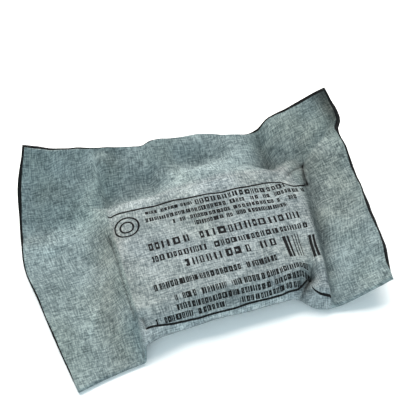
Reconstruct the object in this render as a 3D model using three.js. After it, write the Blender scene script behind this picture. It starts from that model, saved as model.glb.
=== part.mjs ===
// A first aid dressing, packed in a wrapper of rubberised woven cloth.
// The wrapper is one sheet, folded along its near side over a soft block and bonded along
// its left, far and right margins, which stand out as wide flanges with curled far corners.
// Millimetres, +Z up. X runs along the near fold, Y points from the fold to the far margin.

import * as THREE from 'three';

// Wrapper
const wrapperWidth = 178; // left margin to right margin at the widest place
const leafDepth = 122.5; // near fold to far margin in plan, measured at the left margin
const cornerLift = 40.5; // how far the far left corner curls up from the surface
const earReach = 15.5; // how far the fold stands out in front of the pack, at the left end
const clothThickness = 1.0;
const seamWidth = 10; // how far the rubber bond reaches in from the cut edges
const seamThickness = 0.4;
const layerGap = 0.3; // clearance between neighbouring pieces

// Pack inside
const packLength = 99;
const packWidth = 66;
const packHeight = 17.5;
const packCornerRadius = 9;
const packPleatRadius = 26; // its near right corner, which is pushed in under the pleat
const packEdgeRadius = 8;
const endDroop = 3; // how much lower the pack's ends are than its crown
const crownPower = 2.5; // how flat the crown is before it falls to the ends
const frontDroop = 4; // how much lower the cloth is where the face turns down to the fold
const slack = 0.9; // free height between the pack and the cloth over it
const sideRoom = 0.7; // the same beside it

// How the cloth leaves the pack: the plan width of each slope
const leftSlopeNear = 22;
const leftSlopeFar = 8;
const rightSlope = 7;
const farSlope = 14;
const underSlope = 16;
const foldRadius = 9; // plan depth of the rounded near side
const ridgeLean = 0.11; // how the right edge of the face leans outwards towards the far side

// Mesh density
const leftColumns = 8;
const earColumns = 8;
const packColumns = 9;
const pleatColumns = 7;
const rightColumns = 6;
const seamColumns = 2;
const foldRows = 5;
const packRows = 11;
const farRows = 6;
const seamRows = 2;
const packSides = 32;
const edgeRings = 4;
const topRings = 3;
const probeStep = 0.002; // share of the leaf between the places that give a normal

// Places that follow from the sizes
const halfCloth = clothThickness / 2;
const leafOffset = seamThickness / 2 + layerGap + halfCloth; // bond's middle to a leaf's middle
const restHeight = leafOffset + halfCloth; // bond's middle where the wrapper lies on the surface
const clothRoom = halfCloth + layerGap + sideRoom; // pack's side to the cloth's middle beside it
const packBase = clothThickness + layerGap;
const crownHeight = packBase + packHeight + layerGap + halfCloth + slack;
const packMiddle = packBase + packHeight / 2;
const faceHalfLength = packLength / 2 + clothRoom;
const foldLine = -packWidth / 2 - clothRoom - halfCloth;
const faceFar = packWidth / 2 - 2; // where the face starts to fall towards the far margin
const earTip = foldLine - earReach;

// Shares across the leaf where the pack's left and right ends lie
const packStart = 0.22;
const packEnd = 0.86;

// Shares across where the fold steps back from the left ear to the pack, and where the pleat is
const earStart = 0.185;
const earEnd = 0.25;
const pleatStart = 0.68;

// The near fold. at: share across. reach: share of earReach in front of the pack.
// ride: share of the pack's middle height. curl: share of cornerLift. round: share of foldRadius.
const nearFold = [
  { at: 0.0, reach: 1.0, ride: 0.0, curl: 0.0, round: 0.0 },
  { at: 0.1, reach: 0.78, ride: 0.0, curl: 0.0, round: 0.05 },
  { at: 0.2, reach: 0.54, ride: 0.04, curl: 0.0, round: 0.4 },
  { at: 0.245, reach: 0.0, ride: 1.0, curl: 0.0, round: 1.0 },
  { at: 0.72, reach: 0.0, ride: 1.0, curl: 0.0, round: 1.0 },
  { at: 0.765, reach: 0.11, ride: 0.6, curl: 0.0, round: 0.9 },
  { at: 0.82, reach: 0.39, ride: 0.05, curl: 0.0, round: 0.7 },
  { at: 0.86, reach: 0.5, ride: 0.0, curl: 0.01, round: 0.5 },
  { at: 0.9, reach: 0.52, ride: 0.0, curl: 0.09, round: 0.2 },
  { at: 1.0, reach: 0.43, ride: 0.0, curl: 0.33, round: 0.0 },
];

// The bond's level beside the pack's middle.
const middleLevel = [
  { at: 0.0, ride: 0.06, curl: 0.0 },
  { at: 0.2, ride: 0.5, curl: 0.0 },
  { at: 0.3, ride: 1.0, curl: 0.0 },
  { at: 0.86, ride: 1.0, curl: 0.0 },
  { at: 1.0, ride: 1.0, curl: 0.15 },
];

// The far margin. away: share of leafDepth from the left ear's tip.
const farMargin = [
  { at: 0.0, away: 1.0, ride: 0.0, curl: 1.0 },
  { at: 0.133, away: 0.977, ride: 0.0, curl: 0.85 },
  { at: 0.237, away: 0.973, ride: 0.0, curl: 0.73 },
  { at: 0.332, away: 0.973, ride: 0.0, curl: 0.605 },
  { at: 0.387, away: 0.969, ride: 0.0, curl: 0.555 },
  { at: 0.416, away: 0.98, ride: 0.0, curl: 0.555 },
  { at: 0.535, away: 0.996, ride: 0.0, curl: 0.41 },
  { at: 0.622, away: 0.998, ride: 0.0, curl: 0.335 },
  { at: 0.736, away: 0.96, ride: 0.0, curl: 0.26 },
  { at: 0.765, away: 0.964, ride: 0.0, curl: 0.31 },
  { at: 0.816, away: 0.979, ride: 0.0, curl: 0.505 },
  { at: 0.901, away: 0.969, ride: 0.0, curl: 0.705 },
  { at: 1.0, away: 0.966, ride: 0.0, curl: 0.9 },
];

// The left and right margins from the fold to the far side. out: share of wrapperWidth from
// the pack's middle. The right one steps in at a torn place near the far corner.
const leftMargin = [
  { at: 0.0, out: 0.481 },
  { at: 0.23, out: 0.51 },
  { at: 0.44, out: 0.532 },
  { at: 0.6, out: 0.549 },
  { at: 0.7, out: 0.542 },
  { at: 0.88, out: 0.517 },
  { at: 1.0, out: 0.47 },
];
const rightMargin = [
  { at: 0.0, out: 0.447 },
  { at: 0.25, out: 0.468 },
  { at: 0.69, out: 0.466 },
  { at: 0.8, out: 0.458 },
  { at: 0.85, out: 0.476 },
  { at: 1.0, out: 0.456 },
];

// How sharply the flanges curl up: a larger power keeps them low for longer.
const leftCurlPower = 3.3;
const rightCurlPower = 2.3;
const middleShare = 0.3; // share of the leaf over which the fold's level becomes the middle's

// Folds of the flanges, each along a line from one place to another. x: share of wrapperWidth,
// y: share of leafDepth, both from the pack's middle. width and rise: shares of packHeight.
const flangeFolds = [
  { name: 'far valley', x0: 0.239, y0: 0.579, x1: 0.244, y1: 0.364, width: 0.33, rise: -0.15 },
  { name: 'torn corner crease', x0: 0.46, y0: 0.417, x1: 0.33, y1: 0.3, width: 0.2, rise: -0.12 },
  { name: 'far left crease', x0: -0.31, y0: 0.35, x1: -0.27, y1: 0.31, width: 0.22, rise: -0.14 },
  { name: 'left valley', x0: -0.42, y0: 0.306, x1: -0.313, y1: 0.276, width: 0.22, rise: -0.14 },
  { name: 'left ridge', x0: -0.42, y0: 0.345, x1: -0.33, y1: 0.335, width: 0.18, rise: 0.1 },
  { name: 'left pucker', x0: -0.393, y0: 0.195, x1: -0.352, y1: 0.19, width: 0.18, rise: 0.1 },
];
const pleat = [
  { name: 'pleat top', x0: 0.25, y0: -0.17, x1: 0.225, y1: -0.231, width: 0.3, rise: -0.16 },
  { name: 'pleat foot', x0: 0.225, y0: -0.231, x1: 0.2, y1: -0.26, width: 0.34, rise: -0.16 },
];

const mix = THREE.MathUtils.lerp;
const ease = THREE.MathUtils.smoothstep;

// A column of a table between its rows: smooth, and never past the rows' own values.
function readTable(rows, at, column) {
  const last = rows.length - 1;
  let i = 0;
  while (i < last - 1 && at > rows[i + 1].at) i += 1;
  const rise = (j) => (rows[j + 1][column] - rows[j][column]) / (rows[j + 1].at - rows[j].at);
  const slope = (j) => {
    if (j === 0) return rise(0);
    if (j === last) return rise(last - 1);
    const before = rise(j - 1);
    const after = rise(j);
    return before * after <= 0 ? 0 : (2 * before * after) / (before + after);
  };
  const span = rows[i + 1].at - rows[i].at;
  const u = THREE.MathUtils.clamp((at - rows[i].at) / span, 0, 1);
  const bend = u * (1 - u) * span;
  const straight = mix(rows[i][column], rows[i + 1][column], u * u * (3 - 2 * u));
  return straight + bend * ((1 - u) * slope(i) - u * slope(i + 1));
}

function levelOf(rows, across) {
  const ride = readTable(rows, across, 'ride') * (packMiddle - restHeight);
  return restHeight + ride + readTable(rows, across, 'curl') * cornerLift;
}

const foldY = (across) => foldLine - earReach * readTable(nearFold, across, 'reach');
const farY = (across) => earTip + leafDepth * readTable(farMargin, across, 'away');
const foldRound = (across) => mix(leafOffset, foldRadius, readTable(nearFold, across, 'round'));

// Height that a list of folds adds at a place: each has a bell-shaped section and soft ends.
function foldRise(folds, x, y) {
  let total = 0;
  for (const fold of folds) {
    const start = new THREE.Vector2(fold.x0 * wrapperWidth, fold.y0 * leafDepth);
    const way = new THREE.Vector2(fold.x1 * wrapperWidth, fold.y1 * leafDepth).sub(start);
    const from = new THREE.Vector2(x, y).sub(start);
    const along = THREE.MathUtils.clamp(from.dot(way) / way.lengthSq(), 0, 1);
    const off = from.distanceTo(way.clone().multiplyScalar(along)) / (fold.width * packHeight);
    total += fold.rise * packHeight * Math.exp(-off * off);
  }
  return total;
}

// The bond's middle surface. across runs from the left margin to the right one, along from the
// fold to the far margin, both from 0 to 1.
function bondPlace(across, along) {
  const y = mix(foldY(across), farY(across), along);
  const left = -wrapperWidth * readTable(leftMargin, along, 'out');
  const right = wrapperWidth * readTable(rightMargin, along, 'out');
  const faceRight = faceHalfLength + ridgeLean * y;
  let x = mix(-faceHalfLength, faceRight, (across - packStart) / (packEnd - packStart));
  if (across < packStart) x = mix(left, -faceHalfLength, across / packStart);
  if (across > packEnd) x = mix(faceRight, right, (across - packEnd) / (1 - packEnd));
  const nearLevel = levelOf(nearFold, across);
  const level = levelOf(middleLevel, across);
  const power = mix(leftCurlPower, rightCurlPower, across);
  const curl = (levelOf(farMargin, across) - level) * Math.pow(along, power);
  const z = mix(nearLevel, level, ease(along, 0, middleShare)) + curl;
  return new THREE.Vector3(x, y, Math.max(restHeight, z + foldRise(flangeFolds, x, y)));
}

function bondNormal(across, along) {
  const a = THREE.MathUtils.clamp(across, probeStep, 1 - probeStep);
  const b = THREE.MathUtils.clamp(along, probeStep, 1 - probeStep);
  const sideways = bondPlace(a + probeStep, b).sub(bondPlace(a - probeStep, b));
  const away = bondPlace(a, b + probeStep).sub(bondPlace(a, b - probeStep));
  return sideways.cross(away).normalize();
}

const share01 = (value) => THREE.MathUtils.clamp(value, 0, 1);

// 1 over the pack, falling to 0 at the foot of a slope. crisp keeps a crease at its top.
const crisp = (distance, width) => 1 - Math.sin((Math.PI / 2) * share01(distance / width));
const soft = (distance, width) => 1 - ease(distance, 0, width);

// Quarter circle that closes the two leaves at the fold.
const closing = (depth, radius) => Math.sqrt(1 - (1 - share01(depth / radius)) ** 2);

// Middle of the upper leaf over the pack.
function faceHeight(x, y) {
  const ends = endDroop * (Math.abs(x) / faceHalfLength) ** crownPower;
  const front = frontDroop * (Math.max(0, foldLine + foldRadius - y) / foldRadius);
  return crownHeight - ends - front + foldRise(pleat, x, y);
}

// A leaf's middle surface. side is 1 for the upper leaf and -1 for the under leaf.
function leafPlace(across, along, side) {
  const bond = bondPlace(across, along);
  const depth = along * (farY(across) - foldY(across));
  const leftOff = -faceHalfLength - bond.x;
  const rightOff = bond.x - faceHalfLength - ridgeLean * bond.y;
  const farOff = bond.y - faceFar;
  const nearness = share01((packWidth / 2 - bond.y) / packWidth);
  const isEar = 1 - ease(across, earStart, earEnd);
  const rounded = closing(depth, foldRound(across));
  const ramped = mix(rounded, ease(depth, 0, earReach), isEar);
  let cover = crisp(leftOff, mix(leftSlopeFar, leftSlopeNear, nearness));
  cover *= soft(rightOff, rightSlope) * soft(farOff, farSlope);
  let target = faceHeight(bond.x, bond.y);
  if (side < 0) {
    cover = soft(leftOff, leftSlopeNear) * soft(rightOff, underSlope) * soft(farOff, underSlope);
    target = halfCloth;
  }
  const apart = leafOffset * (1 - cover) * closing(depth, leafOffset);
  const place = bond.clone().addScaledVector(bondNormal(across, along), side * apart);
  place.z += cover * ramped * (target - bond.z);
  return place;
}

function spread(from, to, count) {
  return Array.from({ length: count }, (_, i) => mix(from, to, i / count));
}

// Shares across for the mesh's columns. The outermost ones lie over the bond.
function columnShares() {
  const leftFlange = leftMargin[0].out * wrapperWidth - faceHalfLength;
  const rightFlange = rightMargin[0].out * wrapperWidth - faceHalfLength;
  const leftBond = (seamWidth / leftFlange) * packStart;
  const rightBond = 1 - (seamWidth / rightFlange) * (1 - packEnd);
  return [
    ...spread(0, leftBond, seamColumns),
    ...spread(leftBond, earStart, leftColumns - seamColumns),
    ...spread(earStart, earEnd, earColumns),
    ...spread(earEnd, pleatStart, packColumns),
    ...spread(pleatStart, packEnd, pleatColumns),
    ...spread(packEnd, rightBond, rightColumns - seamColumns),
    ...spread(rightBond, 1, seamColumns),
    1,
  ];
}

// Shares along for the mesh's rows in one column: close together round the fold.
function rowShares(across) {
  const near = foldY(across);
  const depth = farY(across) - near;
  const share = (y) => (y - near) / depth;
  const round = foldRound(across) / depth;
  const turns = spread(0, Math.PI / 2, foldRows).map((turn) => round * (1 - Math.cos(turn)));
  const bondStart = 1 - seamWidth / depth;
  return [
    ...turns,
    ...spread(round, share(faceFar), packRows),
    ...spread(share(faceFar), bondStart, farRows),
    ...spread(bondStart, 1, seamRows),
    1,
  ];
}

const columns = columnShares();
const rowCount = foldRows + packRows + farRows + seamRows;

// Collects vertices and triangles, and gives them as a geometry.
class Skin {
  constructor() {
    this.vertices = [];
    this.triangles = [];
  }

  addVertex(place) {
    this.vertices.push(place.x, place.y, place.z);
    return this.vertices.length / 3 - 1;
  }

  addQuad(a, b, c, d) {
    this.triangles.push(a, b, c, a, c, d);
  }

  geometry() {
    const result = new THREE.BufferGeometry();
    result.setAttribute('position', new THREE.Float32BufferAttribute(this.vertices, 3));
    result.setIndex(this.triangles);
    result.computeVertexNormals();
    return result;
  }
}

// Normals of a grid of places, from each place's neighbours.
function gridNormals(grid) {
  const lastRow = grid.length - 1;
  const lastColumn = grid[0].length - 1;
  return grid.map((line, r) =>
    line.map((_, c) => {
      const before = grid[Math.max(0, r - 1)][c];
      const after = grid[Math.min(lastRow, r + 1)][c];
      const left = line[Math.max(0, c - 1)];
      const right = line[Math.min(lastColumn, c + 1)];
      return right.clone().sub(left).cross(after.clone().sub(before)).normalize();
    }),
  );
}

// Closed slab on the cells of a grid that keep() names, with its two faces at half the
// thickness each way along the normals, and a wall round every free edge. Each cell is split
// along one diagonal, the other one before splitRow, so that layers over each other match.
function slab(grid, normals, thickness, keep, splitRow = 0) {
  const skin = new Skin();
  const made = new Map();
  const vertex = (r, c, way) => {
    const key = `${r},${c},${way}`;
    if (!made.has(key)) {
      const place = grid[r][c].clone().addScaledVector(normals[r][c], (way * thickness) / 2);
      made.set(key, skin.addVertex(place));
    }
    return made.get(key);
  };
  const wall = (r0, c0, r1, c1) => {
    skin.addQuad(vertex(r0, c0, -1), vertex(r1, c1, -1), vertex(r1, c1, 1), vertex(r0, c0, 1));
  };
  for (let r = 0; r < grid.length - 1; r += 1) {
    for (let c = 0; c < grid[0].length - 1; c += 1) {
      if (!keep(r, c)) continue;
      const corners = [[r, c], [r, c + 1], [r + 1, c + 1], [r + 1, c]];
      if (r < splitRow) corners.push(corners.shift());
      const [a, b, d, e] = corners;
      skin.addQuad(...[a, b, d, e].map(([i, j]) => vertex(i, j, 1)));
      skin.addQuad(...[a, e, d, b].map(([i, j]) => vertex(i, j, -1)));
      if (!keep(r - 1, c)) wall(r, c, r, c + 1);
      if (!keep(r, c + 1)) wall(r, c + 1, r + 1, c + 1);
      if (!keep(r + 1, c)) wall(r + 1, c + 1, r + 1, c);
      if (!keep(r, c - 1)) wall(r + 1, c, r, c);
    }
  }
  return skin.geometry();
}

// One sheet: up the under leaf from the far margin to the fold, and back over the upper leaf.
function wrapperGeometry() {
  const shares = columns.map(rowShares);
  const grid = [];
  for (let r = -rowCount; r <= rowCount; r += 1) {
    grid.push(columns.map((across, c) => leafPlace(across, shares[c][Math.abs(r)], r < 0 ? -1 : 1)));
  }
  const inside = (r, c) => r >= 0 && r < 2 * rowCount && c >= 0 && c < columns.length - 1;
  return slab(grid, gridNormals(grid), clothThickness, inside, rowCount);
}

// The bond between the leaves: left, far and right margins, clear of the fold's inside.
function seamGeometry() {
  const shares = columns.map(rowShares);
  const grid = [];
  const normals = [];
  for (let r = foldRows; r <= rowCount; r += 1) {
    grid.push(columns.map((across, c) => bondPlace(across, shares[c][r])));
    normals.push(columns.map((across, c) => bondNormal(across, shares[c][r])));
  }
  const lastRow = grid.length - 1;
  const lastColumn = columns.length - 1;
  const onMargin = (r, c) => {
    if (r < 0 || c < 0 || r >= lastRow || c >= lastColumn) return false;
    return c < seamColumns || c >= lastColumn - seamColumns || r >= lastRow - seamRows;
  };
  return slab(grid, normals, seamThickness, onMargin);
}

// Plan outline of the pack, counterclockwise.
function packOutline() {
  const x = packLength / 2;
  const y = packWidth / 2;
  const small = packCornerRadius;
  const large = packPleatRadius;
  const outline = new THREE.Shape();
  outline.moveTo(-x + small, -y);
  outline.lineTo(x - large, -y);
  outline.absarc(x - large, -y + large, large, -Math.PI / 2, 0);
  outline.lineTo(x, y - small);
  outline.absarc(x - small, y - small, small, 0, Math.PI / 2);
  outline.lineTo(-x + small, y);
  outline.absarc(-x + small, y - small, small, Math.PI / 2, Math.PI);
  outline.lineTo(-x, -y + small);
  outline.absarc(-x + small, -y + small, small, Math.PI, Math.PI * 1.5);
  return outline.getSpacedPoints(packSides).slice(0, packSides);
}

// The pack: rings of its outline that close in from its waist over the rounded edge to the
// middle of its top, which follows the face of the wrapper, and of its flat base.
function packGeometry() {
  const skin = new Skin();
  const outline = packOutline();
  const top = (x, y) => faceHeight(x, y) - halfCloth - layerGap - slack;
  const turns = spread(0, Math.PI / 2, edgeRings);
  const insets = spread(packEdgeRadius, packWidth / 2, topRings);
  const rings = [
    ...turns.map((turn) => [packEdgeRadius * (1 - Math.cos(turn)), Math.sin(turn)]),
    ...insets.map((inset) => [inset, 1]),
  ];
  const ringPlace = (point, [inset, rise], side) => {
    const x = point.x * (1 - (2 * inset) / packLength);
    const y = point.y * (1 - (2 * inset) / packWidth);
    const target = side > 0 ? top(x, y) : packBase;
    return new THREE.Vector3(x, y, mix(packMiddle, target, rise));
  };
  const waist = outline.map((point) => skin.addVertex(ringPlace(point, rings[0], 1)));
  for (const side of [1, -1]) {
    let outer = waist;
    for (const ring of rings.slice(1)) {
      const inner = outline.map((point) => skin.addVertex(ringPlace(point, ring, side)));
      for (let i = 0; i < packSides; i += 1) {
        const next = (i + 1) % packSides;
        if (side > 0) skin.addQuad(outer[i], outer[next], inner[next], inner[i]);
        else skin.addQuad(outer[next], outer[i], inner[i], inner[next]);
      }
      outer = inner;
    }
    const middle = skin.addVertex(new THREE.Vector3(0, 0, side > 0 ? top(0, 0) : packBase));
    for (let i = 0; i < packSides; i += 1) {
      const next = (i + 1) % packSides;
      if (side > 0) skin.triangles.push(outer[i], outer[next], middle);
      else skin.triangles.push(outer[next], outer[i], middle);
    }
  }
  return skin.geometry();
}

function piece(name, geometry, colour, roughness) {
  const material = new THREE.MeshStandardMaterial({ color: colour, roughness, metalness: 0 });
  const mesh = new THREE.Mesh(geometry, material);
  mesh.name = name;
  return mesh;
}

const dressing = new THREE.Group();
dressing.add(
  piece('cloth_wrapper', wrapperGeometry(), 0x96a5a5, 0.85),
  piece('rubber_seam', seamGeometry(), 0x16191a, 0.6),
  piece('dressing_pack', packGeometry(), 0xe9e6dc, 0.95),
);

// The origin is the middle of the underside of the whole object's box.
const bounds = new THREE.Box3().setFromObject(dressing);
const centre = bounds.getCenter(new THREE.Vector3());
dressing.position.set(-centre.x, -centre.y, -bounds.min.z);

export default dressing;
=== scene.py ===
"""Looks for a first aid dressing: a soft block in a folded wrapper of rubberised woven cloth.

The wrapper is one sheet, folded along its near side over the block and bonded along its left,
far and right margins, which stand out as wide flanges with curled far corners.
Its surface is worked out in millimetres from the middle of the block, with the near fold along
X, and every mesh is made in metres at its place in the frame.
"""

import math
from functools import partial

import bpy
import numpy as np
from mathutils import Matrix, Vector


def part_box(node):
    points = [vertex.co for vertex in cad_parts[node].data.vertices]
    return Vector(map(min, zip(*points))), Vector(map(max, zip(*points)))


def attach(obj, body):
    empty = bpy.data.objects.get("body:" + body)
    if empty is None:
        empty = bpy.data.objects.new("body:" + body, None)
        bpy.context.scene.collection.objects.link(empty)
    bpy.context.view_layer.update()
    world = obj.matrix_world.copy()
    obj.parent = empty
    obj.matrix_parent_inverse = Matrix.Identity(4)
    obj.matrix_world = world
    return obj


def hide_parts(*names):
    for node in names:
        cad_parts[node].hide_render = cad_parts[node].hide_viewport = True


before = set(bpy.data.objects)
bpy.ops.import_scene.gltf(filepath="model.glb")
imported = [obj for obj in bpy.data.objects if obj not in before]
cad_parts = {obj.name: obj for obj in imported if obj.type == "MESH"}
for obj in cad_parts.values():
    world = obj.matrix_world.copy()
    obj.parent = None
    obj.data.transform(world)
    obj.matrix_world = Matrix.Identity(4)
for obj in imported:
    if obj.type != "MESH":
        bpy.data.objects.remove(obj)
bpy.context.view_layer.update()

bl_info = {
    "name": "First aid dressing",
    "version": (1, 0, 0),
    "blender": (4, 5, 0),
    "location": "View3D > Sidebar > Dressing",
    "description": "Makes a packed first aid dressing and the stage it is shown on",
    "category": "Add Mesh",
}

MM = 0.001

# Sizes in millimetres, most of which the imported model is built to
WRAPPER_WIDTH = 178.0
LEAF_DEPTH = 122.5
CORNER_LIFT = 40.5
EAR_REACH = 15.5
SEAM_WIDTH = 10.0
LEAF_OFFSET = 1.0
REST_HEIGHT = 1.5
HALF_CLOTH = 0.5
CLOTH_ROOM = 1.5
PACK_LENGTH = 99.0
PACK_WIDTH = 66.0
PACK_HEIGHT = 17.5
PACK_BASE = 1.3
PACK_CORNER = 9.0
PACK_PLEAT_CORNER = 26.0
PACK_EDGE = 11.0
# How the cloth over the block falls to its ends and to the near fold
END_DROOP = 3.0
DROOP_END = 1.3
CROWN_POWER = 2.5
FRONT_DROOP = 4.0
CLOTH_ABOVE_PACK = 1.7
CROWN_HEIGHT = PACK_BASE + PACK_HEIGHT + CLOTH_ABOVE_PACK
PACK_MIDDLE = PACK_BASE + PACK_HEIGHT / 2
FACE_HALF = PACK_LENGTH / 2 + CLOTH_ROOM
FOLD_LINE = -PACK_WIDTH / 2 - CLOTH_ROOM - HALF_CLOTH
FACE_FAR = PACK_WIDTH / 2 - 2
EAR_TIP = FOLD_LINE - EAR_REACH
# Plan widths of the slopes from the block down to the flanges
LEFT_SLOPE_NEAR = 22.0
LEFT_SLOPE_FAR = 15.0
RIGHT_SLOPE_NEAR = 4.2
RIGHT_SLOPE_FAR = 6.5
FAR_SLOPE = 11.0
FAR_SLOPE_MIDDLE = 24.0
FAR_MIDDLE_AT = 9.0
FAR_MIDDLE_HALF = 20.0
UNDER_SLOPE = 16.0
FOLD_RADIUS = 10.5
RIDGE_LEAN = 0.11
# How late the curls of the far corners set in
LEFT_CURL_POWER = 5.2
RIGHT_CURL_POWER = 2.3
# Shares along or across the wrapper at which its parts begin and end
MIDDLE_SHARE = 0.3
PACK_START = 0.22
PACK_END = 0.86
EAR_START = 0.2215
EAR_END = 0.24
EAR_RAMP = 18.5
# The upper leaf is cut back at its left, right and far margins, so that a strip of the bond
# shows: the strip's width, how much wider it is at the far corner, how much it wavers, and the
# waves of that in radians for the whole margin
LEFT_TRIM = (0.77, 0.98, 0.175, 31)
RIGHT_TRIM = (0.9, 0.54, 0.225, 23)
FAR_TRIM = (0.32, 1.536, 0.096, 37)
# Small waves of the cloth: height, length and seed of each. Those of the flanges die out from
# one height down to another, because the wrapper lies flat on the surface.
FLANGE_WAVES = ((0.55, 24, 3), (0.16, 9, 5))
FREE_FROM = REST_HEIGHT + 0.5
FREE_FULL = REST_HEIGHT + 6
FACE_WAVES = ((0.22, 16, 11), (0.08, 6, 12))
PAD_WAVES = ((0.25, 12, 21),)

# The near fold: share across, then its reach, ride, curl and roundness there
NEAR_FOLD = (
    (0, 1, 0, 0, 0), (0.1, 0.78, 0, 0, 0.05), (0.2, 0.64, 0, 0, 0.1), (0.2215, 0.62, 0.04, 0, 0.15),
    (0.238, 0.27, 0.9, 0, 1), (0.3, 0.12, 1, 0, 1), (0.42, 0, 1, 0, 1), (0.745, 0, 1, 0, 1),
    (0.775, 0.08, 0.5, 0, 0.9), (0.82, 0.36, 0.05, 0, 0.6), (0.86, 0.48, 0, 0.01, 0.4),
    (0.9, 0.52, 0, 0.09, 0.2), (1, 0.43, 0, 0.33, 0),
)
# The bond beside the middle of the pack: share across, ride, curl
MIDDLE_LEVEL = ((0, 0.06, 0), (0.2, 0.5, 0), (0.3, 1, 0), (0.86, 1, 0), (1, 1, 0.15))
# The far margin: share across, distance from the ear's tip, ride, curl
FAR_MARGIN = (
    (0, 1, 0, 1), (0.133, 0.977, 0, 0.85), (0.237, 0.973, 0, 0.73), (0.332, 0.973, 0, 0.605),
    (0.387, 0.969, 0, 0.555), (0.416, 0.98, 0, 0.555), (0.535, 0.996, 0, 0.41),
    (0.622, 0.998, 0, 0.335), (0.7, 0.952, 0, 0.37), (0.736, 0.925, 0, 0.418),
    (0.765, 0.935, 0, 0.441), (0.816, 0.97, 0, 0.546), (0.901, 0.969, 0, 0.705), (1, 0.966, 0, 0.9),
)
# The side margins from the fold to the far side: share along, share of the width out
LEFT_MARGIN = (
    (0, 0.481), (0.23, 0.51), (0.44, 0.532), (0.6, 0.549), (0.7, 0.542), (0.88, 0.517), (1, 0.47),
)
RIGHT_MARGIN = (
    (0, 0.447), (0.25, 0.468), (0.69, 0.466), (0.8, 0.458), (0.85, 0.476), (1, 0.456),
)
# Columns of the tables
AT, REACH, RIDE, CURL, ROUND = 0, 1, 2, 3, 4
MIDDLE_RIDE, MIDDLE_CURL = 1, 2
FAR_AWAY, FAR_RIDE, FAR_CURL = 1, 2, 3
OUT = 1
LINE, HALF_WIDTH, RISE, SHARPNESS = 0, 1, 2, 3
CREASE_SHADE_AND_DIRT, STRENGTH = 3, 2

# Folds that both leaves share: places along the fold, half width, rise, sharpness.
# A sharpness of 2 is a soft bell across the fold and 1 is a crisp crease.
FLANGE_FOLDS = (
    (((42.5, 55), (43, 45), (43.5, 38)), 4.6, -5, 2),
    (((-46, 46), (-34, 47.5), (-24, 48)), 8, -5, 2),
    (((-4, 57.5), (18, 56.5)), 7, -5, 2),
    (((40, 44), (48, 42), (56, 41)), 6, -3.6, 2),
    (((79, 48.6), (70, 43.2), (60.5, 37.4)), 3.4, -1.9, 1.8),
    (((-46, 60), (-50, 52), (-57, 42)), 5.5, 4, 2),
    (((-90, 41), (-75, 41), (-66, 41)), 8, -3, 2),
    (((-84, 53), (-80, 41)), 5, -1.6, 2),
    (((-55.2, 42.9), (-48.1, 38)), 3, -1.9, 2),
    (((60.5, 33), (57.5, 12), (54.5, -8), (52, -24)), 3.8, -2.6, 1.7),
)
# Folds of the upper leaf alone
FACE_FOLDS = (
    (((42.3, -24.5), (41.6, -27), (40.6, -28.6)), 1.8, -2.8, 1.3),
    (((44, -21), (41, -28.3)), 5, -1.3, 2),
    (((40.6, -28.6), (36, -31.5), (31.5, -36)), 3.2, -4.6, 1.5),
    (((46.4, -22), (46, -30), (45.8, -37)), 2.3, 1.2, 2),
    (((-46.9, -27.5), (-46.4, -32.5)), 1.6, -2.4, 1.3),
)
# Sharp creases of the upper leaf: places along the crease, half width, rise and how much darker it
# is painted. The darkness is painted shade in the crease, with some dirt; a negative darkness
# paints the crease paler, as painted light with some rubbing.
CREASES = (
    (((-52, 21.5), (-51.3, 12), (-51.2, 0), (-51.2, -9.6), (-50.8, -27)), 0.5, -0.5, 0.62),
    (((59.8, 36.9), (54.4, 34.4), (49.4, 31.9)), 0.9, -0.8, 0.5),
    (((59.8, 36.9), (58.2, 32.4), (57.6, 28.2), (57.9, 25)), 0.9, -0.9, 0.7),
    (((56.6, 30), (55.4, 22), (53, 2), (51, -16), (49.6, -30)), 1.8, 0, 0.34),
    (((41.5, 60), (42.5, 52), (43.2, 45), (43.5, 38)), 2.6, 0, 0.4),
    (((54.6, 23.4), (57.4, 24.6)), 0.7, -0.4, 0.5),
    (((42.3, -24.5), (41.6, -27), (40.8, -28.4)), 0.9, -0.6, 0.5),
    (((40.8, -28.8), (37.2, -32.6), (34, -35.2), (31.5, -36.5)), 1.5, -0.3, 0.6),
    (((-46.9, -27.5), (-46.4, -32.5)), 1.2, -0.3, 0.35),
    (((-57.7, 5.5), (-60.4, 1.7), (-64.9, -8), (-69.5, -16.1), (-72.7, -22.7)), 1.5, 0.5, -0.3),
    (((-55, -24), (-58, -33), (-57, -40)), 1.5, 0.4, -0.12),
    (((-44, 40.6), (-17.7, 39.6), (1.5, 39.2), (23.5, 38.6), (45.8, 37.4)), 1.3, -0.2, 0.12),
)
# Wide places painted paler or darker, mostly as painted light and shade on slopes that face towards
# or away from the light, with some wear and dirt: places along them, half width, how much darker
PAINTED_SHADING_AND_WEAR = (
    (((-4, 49), (8, 50), (22, 50)), 7, -0.32),
    (((-46, 36.5), (-17, 35.8), (20, 34.8)), 3.4, -0.24),
    (((-60, 40), (-72, 34), (-84, 28)), 6.5, -0.36),
    (((-50, 58), (-57, 44)), 5, -0.12),
    (((-80, 52), (-84, 42)), 6, 0.08),
    (((-47, -34.8), (0, -34.8), (34, -34.5)), 1.9, -0.36),
    (((-64, -54), (-52, -56)), 8, 0.29),
    (((-50.3, -31.5), (-50.8, -39.5), (-52.5, -46)), 2.8, -0.24),
    (((38.8, -31.3), (35, -35.3)), 2.6, 0.3),
    (((61, 30), (59.4, 18), (57, 2), (55.4, -10)), 5.5, 0.3),
    (((77, 68), (80.5, 60), (82.8, 53)), 4.6, 0.62),
    (((66, 61), (77, 56)), 9, 0.09),
    (((-40, 59), (-31, 50)), 8, 0.14),
    (((50, 36), (57, 38)), 5, 0.16),
)
# Places that have turned brownish with age: places along them, half width, how strongly
AGED = (
    (((58, 44), (69, 30), (71, 8)), 15, 0.58),
    (((80, 64), (83, 54)), 5, 0.8),
    (((-52, 22), (-58, 2), (-62, -14), (-60, -38)), 8, 0.6),
)


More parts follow.
